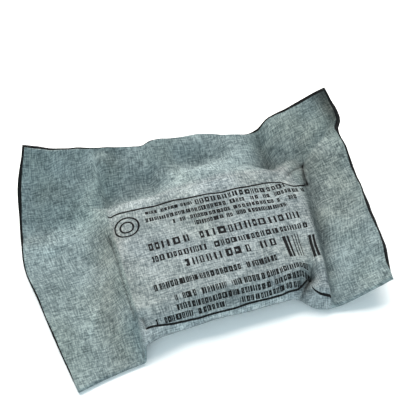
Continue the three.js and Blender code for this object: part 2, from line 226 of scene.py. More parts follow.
def linear(hex_colour):
    """An sRGB hex colour as the linear values that Blender's colours hold."""
    parts = [int(hex_colour[i:i + 2], 16) / 255 for i in (1, 3, 5)]
    return [p / 12.92 if p <= 0.04045 else ((p + 0.055) / 1.055) ** 2.4 for p in parts]


def mix(low, high, share):
    return low + (high - low) * share


def ease(value, low, high):
    """0 below low, 1 above high and smooth between them."""
    share = np.clip((value - low) / (high - low), 0, 1)
    return share * share * (3 - 2 * share)


def bell(value, middle, half):
    """1 at the middle, and dying out smoothly on both sides of it."""
    return np.exp(-(((value - middle) / half) ** 2))


def read_table(rows, at, column):
    """A column of a table between its rows: smooth, and never past the rows' own values."""
    places = np.array([row[AT] for row in rows])
    values = np.array([row[column] for row in rows])
    rise = np.diff(values) / np.diff(places)
    before, after = rise[:-1], rise[1:]
    turns = before * after <= 0
    inner = np.where(turns, 0, 2 * before * after / np.where(turns, 1, before + after))
    slope = np.concatenate(([rise[0]], inner, [rise[-1]]))
    i = np.clip(np.searchsorted(places, at, side="left") - 1, 0, len(values) - 2)
    span = places[i + 1] - places[i]
    share = np.clip((at - places[i]) / span, 0, 1)
    bend = share * (1 - share) * span
    straight = mix(values[i], values[i + 1], share * share * (3 - 2 * share))
    return straight + bend * ((1 - share) * slope[i] - share * slope[i + 1])


def level_of(rows, across, ride, curl):
    """Height of the bond from a table's ride and curl columns."""
    low = REST_HEIGHT + read_table(rows, across, ride) * (PACK_MIDDLE - REST_HEIGHT)
    return low + read_table(rows, across, curl) * CORNER_LIFT


def fold_y(across):
    return FOLD_LINE - EAR_REACH * read_table(NEAR_FOLD, across, REACH)


def far_y(across):
    return EAR_TIP + LEAF_DEPTH * read_table(FAR_MARGIN, across, FAR_AWAY)


def fold_round(across):
    return mix(LEAF_OFFSET, FOLD_RADIUS, read_table(NEAR_FOLD, across, ROUND))


def line_distance(points, x, y):
    """Distance in plan from a line through points."""
    nearest = np.full(np.shape(x), np.inf)
    for (x0, y0), (x1, y1) in zip(points, points[1:]):
        way_x, way_y = x1 - x0, y1 - y0
        share = ((x - x0) * way_x + (y - y0) * way_y) / (way_x**2 + way_y**2)
        share = np.clip(share, 0, 1)
        off = np.hypot(x - x0 - share * way_x, y - y0 - share * way_y)
        nearest = np.minimum(nearest, off)
    return nearest


def line_sum(rows, x, y, column, sharpness=None):
    """What a table's lines add at a place: a column's value on a line, and less beside it."""
    total = np.zeros(np.shape(x))
    for row in rows:
        off = line_distance(row[LINE], x, y) / row[HALF_WIDTH]
        total = total + row[column] * np.exp(-(off ** (sharpness or row[SHARPNESS])))
    return total


def ripple(x, y, wavelength, seed, waves=26):
    """Smooth random height of about one unit, from waves near one length."""
    random = np.random.default_rng(seed)
    total = np.zeros(np.shape(x))
    for _ in range(waves):
        turn, phase = random.uniform(0, 2 * math.pi, 2)
        length = wavelength * random.uniform(0.75, 1.4)
        run = x * math.cos(turn) + y * math.sin(turn)
        total = total + np.sin(2 * math.pi * run / length + phase)
    return total * math.sqrt(2 / waves)


def small_waves(rows, x, y):
    """Height that a list of small waves adds at a place."""
    return sum(height * ripple(x, y, length, seed) for height, length, seed in rows)


def margins(along):
    """Left and right ends of the wrapper at a share along it."""
    left, right = (read_table(rows, along, OUT) for rows in (LEFT_MARGIN, RIGHT_MARGIN))
    return -WRAPPER_WIDTH * left, WRAPPER_WIDTH * right


def bond_place(across, along):
    """Middle surface of the bond. Both shares run from 0 to 1, along from the fold outwards."""
    y = mix(fold_y(across), far_y(across), along)
    left, right = margins(along)
    face_right = FACE_HALF + RIDGE_LEAN * y
    x = mix(-FACE_HALF, face_right, (across - PACK_START) / (PACK_END - PACK_START))
    x = np.where(across < PACK_START, mix(left, -FACE_HALF, across / PACK_START), x)
    beyond = mix(face_right, right, (across - PACK_END) / (1 - PACK_END))
    x = np.where(across > PACK_END, beyond, x)
    near_level = level_of(NEAR_FOLD, across, RIDE, CURL)
    level = level_of(MIDDLE_LEVEL, across, MIDDLE_RIDE, MIDDLE_CURL)
    power = mix(LEFT_CURL_POWER, RIGHT_CURL_POWER, across)
    curl = (level_of(FAR_MARGIN, across, FAR_RIDE, FAR_CURL) - level) * along**power
    z = mix(near_level, level, ease(along, 0, MIDDLE_SHARE)) + curl
    z = z + line_sum(FLANGE_FOLDS, x, y, RISE)
    z = z + ease(z, FREE_FROM, FREE_FULL) * small_waves(FLANGE_WAVES, x, y)
    return np.stack((x, y, np.maximum(REST_HEIGHT, z)), axis=-1)


def bond_normal(across, along):
    step = 0.002
    a = np.clip(across, step, 1 - step)
    b = np.clip(along, step, 1 - step)
    sideways = bond_place(a + step, b) - bond_place(a - step, b)
    away = bond_place(a, b + step) - bond_place(a, b - step)
    normal = np.cross(sideways, away)
    return normal / np.linalg.norm(normal, axis=-1, keepdims=True)


def crisp(distance, width):
    """1 over the pack and 0 at the foot of a slope, with a crease at its top."""
    return 1 - np.sin(np.pi / 2 * np.clip(distance / width, 0, 1))


def soft(distance, width):
    """The same without the crease."""
    return 1 - ease(distance, 0, width)


def footed(distance, width):
    """The same with the crease at its foot."""
    return 1 - np.clip(distance / width, 0, 1) ** 2


def closing(depth, radius):
    """Quarter circle that closes the two leaves at the fold."""
    return np.sqrt(1 - (1 - np.clip(depth / radius, 0, 1)) ** 2)


def face_height(x, y):
    """Middle of the upper leaf over the pack."""
    ends = END_DROOP * np.minimum(DROOP_END, np.abs(x) / FACE_HALF) ** CROWN_POWER
    front = FRONT_DROOP * np.maximum(0, FOLD_LINE + FOLD_RADIUS - y) / FOLD_RADIUS
    return CROWN_HEIGHT - ends - front + line_sum(FACE_FOLDS, x, y, RISE)


def strip_width(trim, margin, corner):
    """Width of a strip of the bond. margin is the share along it, and corner is 1 at its corner."""
    width, wider, waver, waves = trim
    return width + wider * corner + waver * np.sin(waves * margin)


def trimmed(across, along):
    """Shares of the upper leaf, which is cut back so that a strip of the bond shows."""
    off_fold = ease(along, 0.02, 0.12)
    left = strip_width(LEFT_TRIM, along, bell(along, 0.9, 0.12))
    right = strip_width(RIGHT_TRIM, along, ease(along, 0.78, 0.86))
    far = strip_width(FAR_TRIM, across, ease(across, 0.7, 0.8))
    to_left = np.clip(1 - across / PACK_START, 0, 1)
    to_right = np.clip((across - PACK_END) / (1 - PACK_END), 0, 1)
    moved = across + off_fold * (left * to_left - right * to_right) / WRAPPER_WIDTH
    return moved, along * (1 - far / LEAF_DEPTH * along)


def leaf_place(across, along, side):
    """Middle surface of a leaf. side is 1 for the upper leaf and -1 for the under leaf."""
    if side > 0:
        across, along = trimmed(across, along)
    bond = bond_place(across, along)
    x, y, z = bond[..., 0], bond[..., 1], bond[..., 2]
    depth = along * (far_y(across) - fold_y(across))
    left_off = -FACE_HALF - x
    right_off = x - FACE_HALF - RIDGE_LEAN * y
    far_off = y - FACE_FAR
    nearness = np.clip((PACK_WIDTH / 2 - y) / PACK_WIDTH, 0, 1)
    is_ear = 1 - ease(across, EAR_START, EAR_END)
    ear_ramp = mix(np.clip(depth / EAR_RAMP, 0, 1), ease(depth, 0, EAR_RAMP), 0.5)
    ramped = mix(closing(depth, fold_round(across)), ear_ramp, is_ear)
    if side > 0:
        cover = crisp(left_off, mix(LEFT_SLOPE_FAR, LEFT_SLOPE_NEAR, nearness))
        right_slope = mix(RIGHT_SLOPE_FAR, RIGHT_SLOPE_NEAR, nearness)
        far_slope = mix(FAR_SLOPE, FAR_SLOPE_MIDDLE, bell(x, FAR_MIDDLE_AT, FAR_MIDDLE_HALF))
        cover = cover * crisp(right_off, right_slope) * footed(far_off, far_slope)
        target = face_height(x, y) + small_waves(FACE_WAVES, x, y)
    else:
        cover = soft(left_off, LEFT_SLOPE_NEAR) * soft(right_off, UNDER_SLOPE)
        cover = cover * soft(far_off, UNDER_SLOPE)
        target = HALF_CLOTH
    apart = LEAF_OFFSET * (1 - cover) * closing(depth, LEAF_OFFSET)
    place = bond + side * apart[..., None] * bond_normal(across, along)
    place[..., 2] += cover * ramped * (target - z)
    if side > 0:
        place[..., 2] += closing(depth, EAR_REACH) * line_sum(CREASES, x, y, RISE, 1)
    return place


# The mesh: points that shares are measured with, columns, and rows of the two leaves
FINE_SHARES = 4001
COLUMN_COUNT = 216
DENSE_COLUMNS = ((0.229, 0.012, 4.0), (0.81, 0.06, 0.9))
FOLD_TURNS = 14
UPPER_ROWS = 118
UNDER_ROWS = 36


def spaced_shares(count, dense):
    """count shares from 0 to 1, closer together at each (place, width, extra) of dense."""
    fine = np.linspace(0, 1, FINE_SHARES)
    weight = np.ones_like(fine)
    for place, width, extra in dense:
        weight = weight + extra * bell(fine, place, width)
    total = np.concatenate(([0], np.cumsum((weight[1:] + weight[:-1]) / 2)))
    return np.interp(np.linspace(0, total[-1], count), total, fine)


COLUMNS = spaced_shares(COLUMN_COUNT, DENSE_COLUMNS)


def row_shares(across, turns, rows):
    """Shares along for the rows of each column: close together round the fold."""
    depth = far_y(across) - fold_y(across)
    round_share = fold_round(across) / depth
    turn = np.linspace(0, np.pi / 2, turns, endpoint=False)
    near = round_share[None, :] * (1 - np.cos(turn))[:, None]
    rest = np.linspace(0, 1, rows + 1)[:, None]
    return np.concatenate((near, mix(round_share[None, :], 1, rest)))


def wrapper_grid():
    """Places of the whole sheet: up the under leaf to the fold, and back over the upper one."""
    upper = row_shares(COLUMNS, FOLD_TURNS, UPPER_ROWS)
    under = row_shares(COLUMNS, FOLD_TURNS // 2, UNDER_ROWS)[1:][::-1]
    across_upper = np.broadcast_to(COLUMNS, upper.shape)
    across_under = np.broadcast_to(COLUMNS, under.shape)
    places = np.concatenate(
        (leaf_place(across_under, under, -1), leaf_place(across_upper, upper, 1))
    )
    return places, len(under)


# The flat sheet that the UV map lays out, in millimetres
SHEET_ACROSS = 200.0
SHEET_ALONG = 360.0
FLAT_MIDDLE = 0.7
# How many neighbours each way the lengths along the cloth are averaged over
EVEN_ACROSS = 30
EVEN_ALONG = 14


def evened(steps, axis, reach):
    """Steps averaged with their neighbours along an axis, so that threads stay nearly straight."""
    ends = [(0, 0), (0, 0)]
    ends[axis] = (reach + 1, reach)
    total = np.cumsum(np.pad(steps, ends, mode="edge"), axis=axis)
    count = steps.shape[axis]
    width = 2 * reach + 1
    late = np.take(total, np.arange(width, width + count), axis=axis)
    return (late - np.take(total, np.arange(count), axis=axis)) / width


def flat_map(places, fold_row):
    """UV of each grid place: lengths along the cloth from the middle of the pack's top."""
    middle = np.searchsorted(COLUMNS, (PACK_START + PACK_END) / 2)
    steps_across = evened(np.linalg.norm(np.diff(places, axis=1), axis=-1), 0, EVEN_ACROSS)
    u = np.concatenate((np.zeros((len(places), 1)), np.cumsum(steps_across, axis=1)), axis=1)
    u = u - u[:, middle:middle + 1] + places[:, middle:middle + 1, 0]
    steps_along = evened(np.linalg.norm(np.diff(places, axis=0), axis=-1), 1, EVEN_ALONG)
    v = np.concatenate((np.zeros((1, places.shape[1])), np.cumsum(steps_along, axis=0)))
    upper = places[fold_row:, :, 1]
    for column in range(places.shape[1]):
        v[:, column] -= np.interp(0, upper[:, column], v[fold_row:, column])
    return 0.5 + u / SHEET_ACROSS, FLAT_MIDDLE + v / SHEET_ALONG


def grid_object(name, places, keep=None, uv=None, marks=None):
    """A mesh object of a grid's cells, or of those in keep, at its place in the frame."""
    low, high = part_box("dressing_pack")
    shift = np.array(((low.x + high.x) / 2, (low.y + high.y) / 2, 0.0))
    rows, columns = places.shape[:2]
    index = np.arange(rows * columns).reshape(rows, columns)
    if keep is None:
        keep = np.ones((rows - 1, columns - 1), bool)
    corners = (index[:-1, :-1], index[:-1, 1:], index[1:, 1:], index[1:, :-1])
    faces = np.stack([c[keep] for c in corners], axis=-1)
    used, compact = np.unique(faces, return_inverse=True)
    faces = compact.reshape(faces.shape)
    mesh = bpy.data.meshes.new(name)
    points = places.reshape(-1, 3)[used] * MM + shift
    mesh.from_pydata(points.tolist(), [], faces.tolist())
    if uv is not None:
        flat = np.stack([part.reshape(-1)[used] for part in uv], axis=-1)
        layer = mesh.uv_layers.new(name="flat_sheet")
        layer.data.foreach_set("uv", flat[faces.reshape(-1)].astype(np.float32).ravel())
    for mark, strength in (marks or {}).items():
        layer = mesh.attributes.new(mark, "FLOAT", "POINT")
        layer.data.foreach_set("value", strength.reshape(-1)[used].astype(np.float32))
    thing = bpy.data.objects.new(name, mesh)
    bpy.context.scene.collection.objects.link(thing)
    return thing


def select_only(thing):
    bpy.ops.object.select_all(action="DESELECT")
    thing.select_set(True)
    bpy.context.view_layer.objects.active = thing


# Material slots of the sheet's inner side and cut edges, and where the flat map's upper leaf is
INNER, RIM = 1, 2
UPPER_UV = 0.54
CLOTH_ANGLE = math.radians(50)
PAD_ANGLE = math.radians(60)


def bare_upper_rim(wrapper):
    """Gives the cut edge of the upper leaf the cloth's slot, and leaves the under leaf's black."""
    flat = wrapper.data.uv_layers["flat_sheet"].data
    for face in wrapper.data.polygons:
        if face.material_index == RIM and flat[face.loop_start].uv.y > UPPER_UV:
            face.material_index = 0


def thicken(thing, thickness, inner_slot=0, rim_slot=0):
    """Gives a sheet its thickness, half on each side, and applies it."""
    select_only(thing)
    solid = thing.modifiers.new("thickness", "SOLIDIFY")
    solid.thickness = thickness
    solid.offset = 0
    solid.material_offset = inner_slot
    solid.material_offset_rim = rim_slot
    bpy.ops.object.modifier_apply(modifier=solid.name)
    bpy.ops.object.shade_smooth_by_angle(angle=CLOTH_ANGLE)


def add_node(tree, kind, sockets=(), **settings):
    """Adds a node with its settings. sockets holds a value or a link for each socket that gets
    one, as a list in their order or as a dictionary with their names or numbers."""
    node = tree.nodes.new(kind)
    for name, value in settings.items():
        setattr(node, name, value)
    named = sockets if isinstance(sockets, dict) else dict(enumerate(sockets))
    for key, value in named.items():
        if isinstance(value, bpy.types.Node):
            value = value.outputs[0]
        if isinstance(value, bpy.types.NodeSocket):
            tree.links.new(value, node.inputs[key])
        else:
            node.inputs[key].default_value = value
    return node


def new_material(name):
    """An empty material, and the call that adds a node to it."""
    material = bpy.data.materials.new(name)
    material.use_nodes = True
    material.node_tree.nodes.clear()
    return material, partial(add_node, material.node_tree)


# The print, in millimetres from the middle of the pack's top. Each row of plain blocks has its
# middle height, height, left end, right end and block spacing.
PRINT_ROWS = (
    (26.9, 1.9, -32, -6, 1.8),
    (26.7, 3, -4.5, 46.5, 3.1),
    (22.5, 2.4, -32.5, 57, 2.2),
    (18.5, 2.4, -18.5, 52, 2),
    (14.6, 2.5, -8, 43, 2),
    (6.7, 4.3, -34.5, 48, 4.7),
    (-0.6, 3.3, -34.5, 50.5, 3.1),
    (-7.1, 4.3, -19, 29, 4.8),
    (-16.4, 3.3, -38.5, 26, 2.3),
    (-24.3, 3.1, -29.5, -3, 2.4),
    (-24.3, 3.1, 0, 43.5, 2.4),
    (-29.1, 2.9, -30, 44, 2.3),
    (-33.3, 2.9, -42, -5.5, 2.3),
    (-33.5, 2.9, 2, 35.5, 2.3),
)
# Where a block's middle is in its cell, and the share of cells that hold a block
BLOCK_MIDDLE = 0.45
BLOCK_SHARE = 0.93
# A block's half width and its stroke in cells, each with what a finer row adds, and what chance
# adds to the half width
BLOCK_HALF = (0.25, 0.2)
BLOCK_STROKE = (0.12, 0.45)
HALF_CHANCE = 0.08
# Half of the opening in a block's height, as a share of it, and what chance adds
BLOCK_GAP = 0.12
GAP_CHANCE = 0.5
# How often and how far, in cells, the blocks of a row sway to the side
SWAY_SCALE = 0.45
BLOCK_SWAY = 1.4
# Each ruled line has its thickness and its places from left to right.
RULES = (
    (
        1.0,
        (
            (-53.2, 32), (-44, 32.6), (-28, 31.5), (-11.4, 30.7), (0, 30), (21, 28.6),
            (30, 29.2), (36.6, 29.9), (44.8, 27.4), (49.7, 24), (55.8, 23.5), (59.5, 23.9),
        ),
    ),
    (
        1.15,
        (
            (-47.9, -34.3), (-45.3, -34.4), (-33.1, -35.9), (-17.3, -36.7), (-8.5, -37),
            (12, -36), (28.2, -36.6), (34.4, -35.4), (38.7, -32.8), (41.5, -30.2),
        ),
    ),
    (1.3, ((43.3, -37.1), (45.4, -39.7), (48.9, -41.7), (54.3, -42.2))),
)
# The span of the curves of the ruled lines, in millimetres each way
RULE_SPAN = 60.0
# The ring's middle, half width and half height, and its two lines as shares of those
RING = (-42.4, 21.8, 7.0, 6.0)
RING_LINES = (0.92, 0.5)
RING_HALF_LINE = 0.075
# The two parts of the stripe block: left, right, near and far ends
STRIPES = ((32.3, 43.5, -18.4, -4.9), (48.8, 53.4, -20.5, -6.8))
STRIPE_PITCH = 0.62
STRIPE_GAPS = 0.38
# The print runs slightly askew, and more so towards its far side
PRINT_TILT = 0.0202
PRINT_TWIST = 0.000535


def rule_mask(add, u, v, thick, points):
    """Where a ruled line is, which follows the cloth through its places."""
    at = add("ShaderNodeMapRange", {"Value": u, "From Min": -RULE_SPAN, "From Max": RULE_SPAN})
    height = add("ShaderNodeFloatCurve", {"Value": at})
    curve = height.mapping.curves[0]
    places = [((x + RULE_SPAN) / RULE_SPAN / 2, (y + RULE_SPAN) / RULE_SPAN / 2) for x, y in points]
    curve.points[0].location, curve.points[1].location = places[0], places[-1]
    for x, y in places[1:-1]:
        curve.points.new(x, y)
    height.mapping.update()
    level = add("ShaderNodeMapRange", {"Value": height, "To Min": -RULE_SPAN, "To Max": RULE_SPAN})
    on_line = add("ShaderNodeMath", [v, level, thick / 2], operation="COMPARE")
    left, right = points[0][0], points[-1][0]
    reach = [u, (left + right) / 2, (right - left) / 2]
    in_reach = add("ShaderNodeMath", reach, operation="COMPARE")
    return add("ShaderNodeMath", [on_line, in_reach], operation="MULTIPLY")


def print_mask(add, flat):
    """Where the ink is: ruled lines, rows of plain blocks, a plain ring and a stripe block."""
    place = add("ShaderNodeSeparateXYZ", [flat])
    u, along = place.outputs[0], place.outputs[1]
    tilt = add("ShaderNodeMath", [along, PRINT_TWIST, PRINT_TILT], operation="MULTIPLY_ADD")
    v = add("ShaderNodeMath", [u, tilt, along], operation="MULTIPLY_ADD")

    def inside(low_u, high_u, low_v, high_v):
        """1 inside a rectangle of the print and 0 outside it."""
        sides = []
        for value, low, high in ((u, low_u, high_u), (v, low_v, high_v)):
            reach = [value, (low + high) / 2, (high - low) / 2]
            sides.append(add("ShaderNodeMath", reach, operation="COMPARE"))
        return add("ShaderNodeMath", sides, operation="MULTIPLY")

    # Spacing, 1 / height and middle height of the row that a place lies in, or zeros
    row = (0, 0, 0)
    for height, tall, left, right, step in PRINT_ROWS:
        here = inside(left, right, height - tall / 2, height + tall / 2)
        placed = [here, (step, 1 / tall, height), row]
        row = add("ShaderNodeVectorMath", placed, operation="MULTIPLY_ADD")
    spacing, per_height, middle = add("ShaderNodeSeparateXYZ", [row]).outputs
    evenly = add("ShaderNodeMath", [u, spacing], operation="DIVIDE")
    # The blocks widen and narrow along a row
    line = add("ShaderNodeCombineXYZ", [evenly, middle])
    sway = add(
        "ShaderNodeTexNoise",
        {"Vector": line, "Scale": SWAY_SCALE, "Detail": 1},
        noise_dimensions="2D",
    )
    run = add("ShaderNodeMath", [sway, BLOCK_SWAY, evenly], operation="MULTIPLY_ADD")
    block = add("ShaderNodeMath", [run], operation="FLOOR")
    across = add("ShaderNodeMath", [run], operation="FRACT")
    off_middle = add("ShaderNodeMath", [v, middle], operation="SUBTRACT")
    rise = add("ShaderNodeMath", [off_middle, per_height], operation="MULTIPLY")
    cell = add("ShaderNodeCombineXYZ", [block, middle])
    chance = add("ShaderNodeTexWhiteNoise", {"Vector": cell}, noise_dimensions="2D")
    draws = add("ShaderNodeSeparateColor", [chance.outputs["Color"]]).outputs
    # Small blocks are wider and have thicker strokes for their spacing than large ones
    fineness = add("ShaderNodeMath", [1, spacing], operation="DIVIDE")
    least, stroke = (
        add("ShaderNodeMath", [fineness, finer, base], operation="MULTIPLY_ADD")
        for base, finer in (BLOCK_HALF, BLOCK_STROKE)
    )
    half = add("ShaderNodeMath", [draws[0], HALF_CHANCE, least], operation="MULTIPLY_ADD")
    inner_half = add("ShaderNodeMath", [half, stroke], operation="SUBTRACT")
    # The blocks are open in their middle: some right through, and some as a frame
    gap = add("ShaderNodeMath", [draws[1], GAP_CHANCE, BLOCK_GAP], operation="MULTIPLY_ADD")
    solid, inner_across, inner_rise = (
        add("ShaderNodeMath", [value, at, reach], operation="COMPARE")
        for value, at, reach in (
            (across, BLOCK_MIDDLE, half),
            (across, BLOCK_MIDDLE, inner_half),
            (rise, 0, gap),
        )
    )
    inner = add("ShaderNodeMath", [inner_across, inner_rise], operation="MULTIPLY")
    shape = add("ShaderNodeMath", [solid, inner], operation="SUBTRACT")
    is_block = add("ShaderNodeMath", [draws[2], BLOCK_SHARE], operation="LESS_THAN")
    in_row = add("ShaderNodeMath", [per_height, 0.01], operation="GREATER_THAN")
    shown = add("ShaderNodeMath", [is_block, in_row], operation="MULTIPLY")
    parts = [add("ShaderNodeMath", [shape, shown], operation="MULTIPLY")]
    parts += [rule_mask(add, u, along, *rule) for rule in RULES]
    # The ring
    ring_u, ring_v, half_across, half_along = RING
    in_ring = add(
        "ShaderNodeMapping",
        {
            "Vector": add("ShaderNodeCombineXYZ", [u, v]),
            "Location": (-ring_u / half_across, -ring_v / half_along, 0),
            "Scale": (1 / half_across, 1 / half_along, 0),
        },
    )
    away = add("ShaderNodeVectorMath", [in_ring], operation="LENGTH")
    for radius in RING_LINES:
        reach = [away.outputs["Value"], radius, RING_HALF_LINE]
        parts.append(add("ShaderNodeMath", reach, operation="COMPARE"))
    # The stripe block: chance bars on an even pitch
    pitch = add("ShaderNodeMath", [u, STRIPE_PITCH], operation="DIVIDE")
    bar = add("ShaderNodeMath", [pitch], operation="FLOOR")
    draw = add("ShaderNodeTexWhiteNoise", {"W": bar}, noise_dimensions="1D")
    is_bar = add("ShaderNodeMath", [draw, STRIPE_GAPS], operation="GREATER_THAN")
    for sides in STRIPES:
        both = [is_bar, inside(*sides)]
        parts.append(add("ShaderNodeMath", both, operation="MULTIPLY"))
    total = parts[0]
    for part in parts[1:]:
        total = add("ShaderNodeMath", [total, part], operation="MAXIMUM")
    return total


# Sizes of the cloth's marks in millimetres. Single threads are some 0.3 mm wide, too fine to
# show, so their slubs are drawn about twice as wide.
SLUB_WIDTH = 0.72
SLUB_LENGTH = 4.2
GRAIN = 0.9
MOTTLE = 13.0
STAIN = 38.0
# How much the grain and the mottle add to the threads' light and dark
GRAIN_SHARE = 0.45
MOTTLE_SHARE = 0.6
# The pressed face on the flat sheet, and the half width of its soft border, in millimetres
FACE_ACROSS = (-52.2, 54.8)
FACE_ALONG = (-52.0, 41.0)
FACE_FADE = 3.0


def cloth_material(finish):
    """Plain-weave cotton, dyed grey and rubberised behind: mottled threads with a dark ground."""
    material, add = new_material("rubberised_plain_weave_cotton")
    flat = add(
        "ShaderNodeMapping",
        {
            "Vector": add("ShaderNodeUVMap", uv_map="flat_sheet"),
            "Location": (-0.5 * SHEET_ACROSS, -FLAT_MIDDLE * SHEET_ALONG, 0),
            "Scale": (SHEET_ACROSS, SHEET_ALONG, 1),
        },
    )
    # Slubs of single threads, both ways
    slubs = []
    for wide, long in ((SLUB_WIDTH, SLUB_LENGTH), (SLUB_LENGTH, SLUB_WIDTH)):
        run = add("ShaderNodeMapping", {"Vector": flat, "Scale": (1 / wide, 1 / long, 1)})
        noise = {"Vector": run, "Scale": 1, "Detail": 2, "Roughness": 0.6}
        slubs.append(add("ShaderNodeTexNoise", noise, noise_dimensions="2D"))
    threads = add("ShaderNodeMath", slubs, operation="ADD")
    grain, mottle, stains = (
        add(
            "ShaderNodeTexNoise",
            {"Vector": flat, "Scale": 1 / size, "Detail": detail, "Roughness": roughness},
            noise_dimensions="2D",
        )
        for size, detail, roughness in ((GRAIN, 2, 0.7), (MOTTLE, 3, 0.55), (STAIN, 2, 0.5))
    )
    with_grain = add("ShaderNodeMath", [grain, GRAIN_SHARE, threads], operation="MULTIPLY_ADD")
    with_mottle = add(
        "ShaderNodeMath", [mottle, MOTTLE_SHARE, with_grain], operation="MULTIPLY_ADD"
    )
    tone = add("ShaderNodeMapRange", {"Value": with_mottle, "From Min": 1.03, "From Max": 1.99})
    ramp = add("ShaderNodeValToRGB", [tone])
    stops = ramp.color_ramp.elements
    stops[0].position, stops[1].position = 0.12, 0.9
    stops[0].color = (*finish.ground, 1)
    stops[1].color = (*finish.light_thread, 1)
    stops.new(0.48).color = (*finish.cloth, 1)
    # Large pale olive stains
    stained = add(
        "ShaderNodeMapRange", {"Value": stains, "From Min": 0.42, "From Max": 0.75, "To Max": 0.32}
    )
    # The face is tinted paler and less green than the flanges
    spot = add("ShaderNodeSeparateXYZ", [flat])
    pressed = []
    for place, (low, high) in zip(spot.outputs, (FACE_ACROSS, FACE_ALONG)):
        half = (high - low) / 2
        off_middle = add("ShaderNodeMath", [place, (low + high) / 2], operation="SUBTRACT")
        away = add("ShaderNodeMath", [off_middle], operation="ABSOLUTE")
        span = {"From Min": half - FACE_FADE, "From Max": half + FACE_FADE}
        fade = {"Value": away, **span, "To Min": 1, "To Max": 0}
        pressed.append(add("ShaderNodeMapRange", fade, interpolation_type="SMOOTHSTEP"))
    face = add("ShaderNodeMath", pressed, operation="MULTIPLY")
    flange = add("ShaderNodeMath", [1, face], operation="SUBTRACT")
    # Parts of the flanges have turned brownish with age
    age = add("ShaderNodeAttribute", attribute_name="cloth_age").outputs["Fac"]
    colour = ramp
    for share, tint in ((stained, finish.stain), (flange, finish.flange), (age, finish.aged)):
        tinted = {0: share, 6: colour, 7: (*tint, 1)}
        colour = add("ShaderNodeMix", tinted, data_type="RGBA", blend_type="MULTIPLY").outputs[2]
    # Painted shade in the creases, and painted light and shade on the flanges, with some dirt and
    # wear
    shade_and_wear = add("ShaderNodeAttribute", attribute_name="painted_shade_and_wear").outputs["Fac"]
    unshaded = add("ShaderNodeMath", [1, shade_and_wear], operation="SUBTRACT")
    shaded_colour = add("ShaderNodeVectorMath", {0: colour, "Scale": unshaded}, operation="SCALE")
    # The ink sinks into the threads, so the light ones show through it a little
    soaked = add(
        "ShaderNodeMapRange",
        {"Value": with_grain, "From Min": 0.85, "From Max": 1.55, "To Min": 1, "To Max": 0.975},
    )
    ink = add("ShaderNodeMath", [print_mask(add, flat), soaked], operation="MULTIPLY")
    mixed = {0: ink, 6: shaded_colour, 7: (*finish.ink, 1)}
    printed = add("ShaderNodeMix", mixed, data_type="RGBA").outputs[2]
    bump = add("ShaderNodeBump", {"Height": with_grain, "Strength": 0.25, "Distance": 0.0006})
    surface = add(
        "ShaderNodeBsdfPrincipled",
        {"Base Color": printed, "Roughness": 0.86, "Specular IOR Level": 0.12, "Normal": bump},
    )
    add("ShaderNodeOutputMaterial", {"Surface": surface})
    return material


def rubber_material(finish):
    """Vulcanised natural rubber, black and matt, with the fine grit of its filler."""
    material, add = new_material("vulcanised_black_rubber")
    place = add("ShaderNodeTexCoord").outputs["Object"]
    # Grit of 0.8 mm, coarser than the real one so that it shows
    grit = add("ShaderNodeTexNoise", {"Vector": place, "Scale": 1 / (0.8 * MM), "Detail": 3})
    ramp = add("ShaderNodeValToRGB", [grit])
    stops = ramp.color_ramp.elements
    stops[0].position, stops[1].position = 0.3, 0.75
    stops[0].color = (*[0.6 * c for c in finish.rubber], 1)
    stops[1].color = (*[1.7 * c for c in finish.rubber], 1)
    bump = add("ShaderNodeBump", {"Height": grit, "Strength": 0.3, "Distance": 0.0003})
    surface = add(
        "ShaderNodeBsdfPrincipled",
        {"Base Color": ramp, "Roughness": 0.75, "Specular IOR Level": 0.12, "Normal": bump},
    )
    add("ShaderNodeOutputMaterial", {"Surface": surface})
    return material


def gauze_material(finish):
    """Bleached cotton gauze: an open weave of fine threads, drawn at 1.2 mm so that it shows."""
    material, add = new_material("bleached_cotton_gauze")
    place = add("ShaderNodeTexCoord").outputs["Object"]
    waves = []
    for direction in ("X", "Y"):
        wave = {"Vector": place, "Scale": 0.31 / (1.2 * MM), "Distortion": 0.6}
        waves.append(add("ShaderNodeTexWave", wave, bands_direction=direction).outputs["Fac"])
    weave = add("ShaderNodeMath", waves, operation="MAXIMUM")
    ramp = add("ShaderNodeValToRGB", [weave])
    stops = ramp.color_ramp.elements
    stops[0].color = (*[0.72 * c for c in finish.gauze], 1)
    stops[1].color = (*finish.gauze, 1)
    bump = add("ShaderNodeBump", {"Height": weave, "Strength": 0.5, "Distance": 0.0005})
    surface = add(
        "ShaderNodeBsdfPrincipled", {"Base Color": ramp, "Roughness": 0.95, "Normal": bump}
    )
    add("ShaderNodeOutputMaterial", {"Surface": surface})
    return material


def floor_material(finish):
    """Matt white backdrop paper, with the faint cloudiness of its pulp."""
    material, add = new_material("matt_backdrop_paper")
    place = add("ShaderNodeTexCoord").outputs["Object"]
    pulp = add("ShaderNodeTexNoise", {"Vector": place, "Scale": 40, "Detail": 2})
    ramp = add("ShaderNodeValToRGB", [pulp])
    ramp.color_ramp.elements[0].color = (*[0.985 * c for c in finish.floor], 1)
    ramp.color_ramp.elements[1].color = (*finish.floor, 1)
    surface = add(
        "ShaderNodeBsdfPrincipled",
        {"Base Color": ramp, "Roughness": 0.95, "Specular IOR Level": 0.1},
    )
    add("ShaderNodeOutputMaterial", {"Surface": surface})
    return material


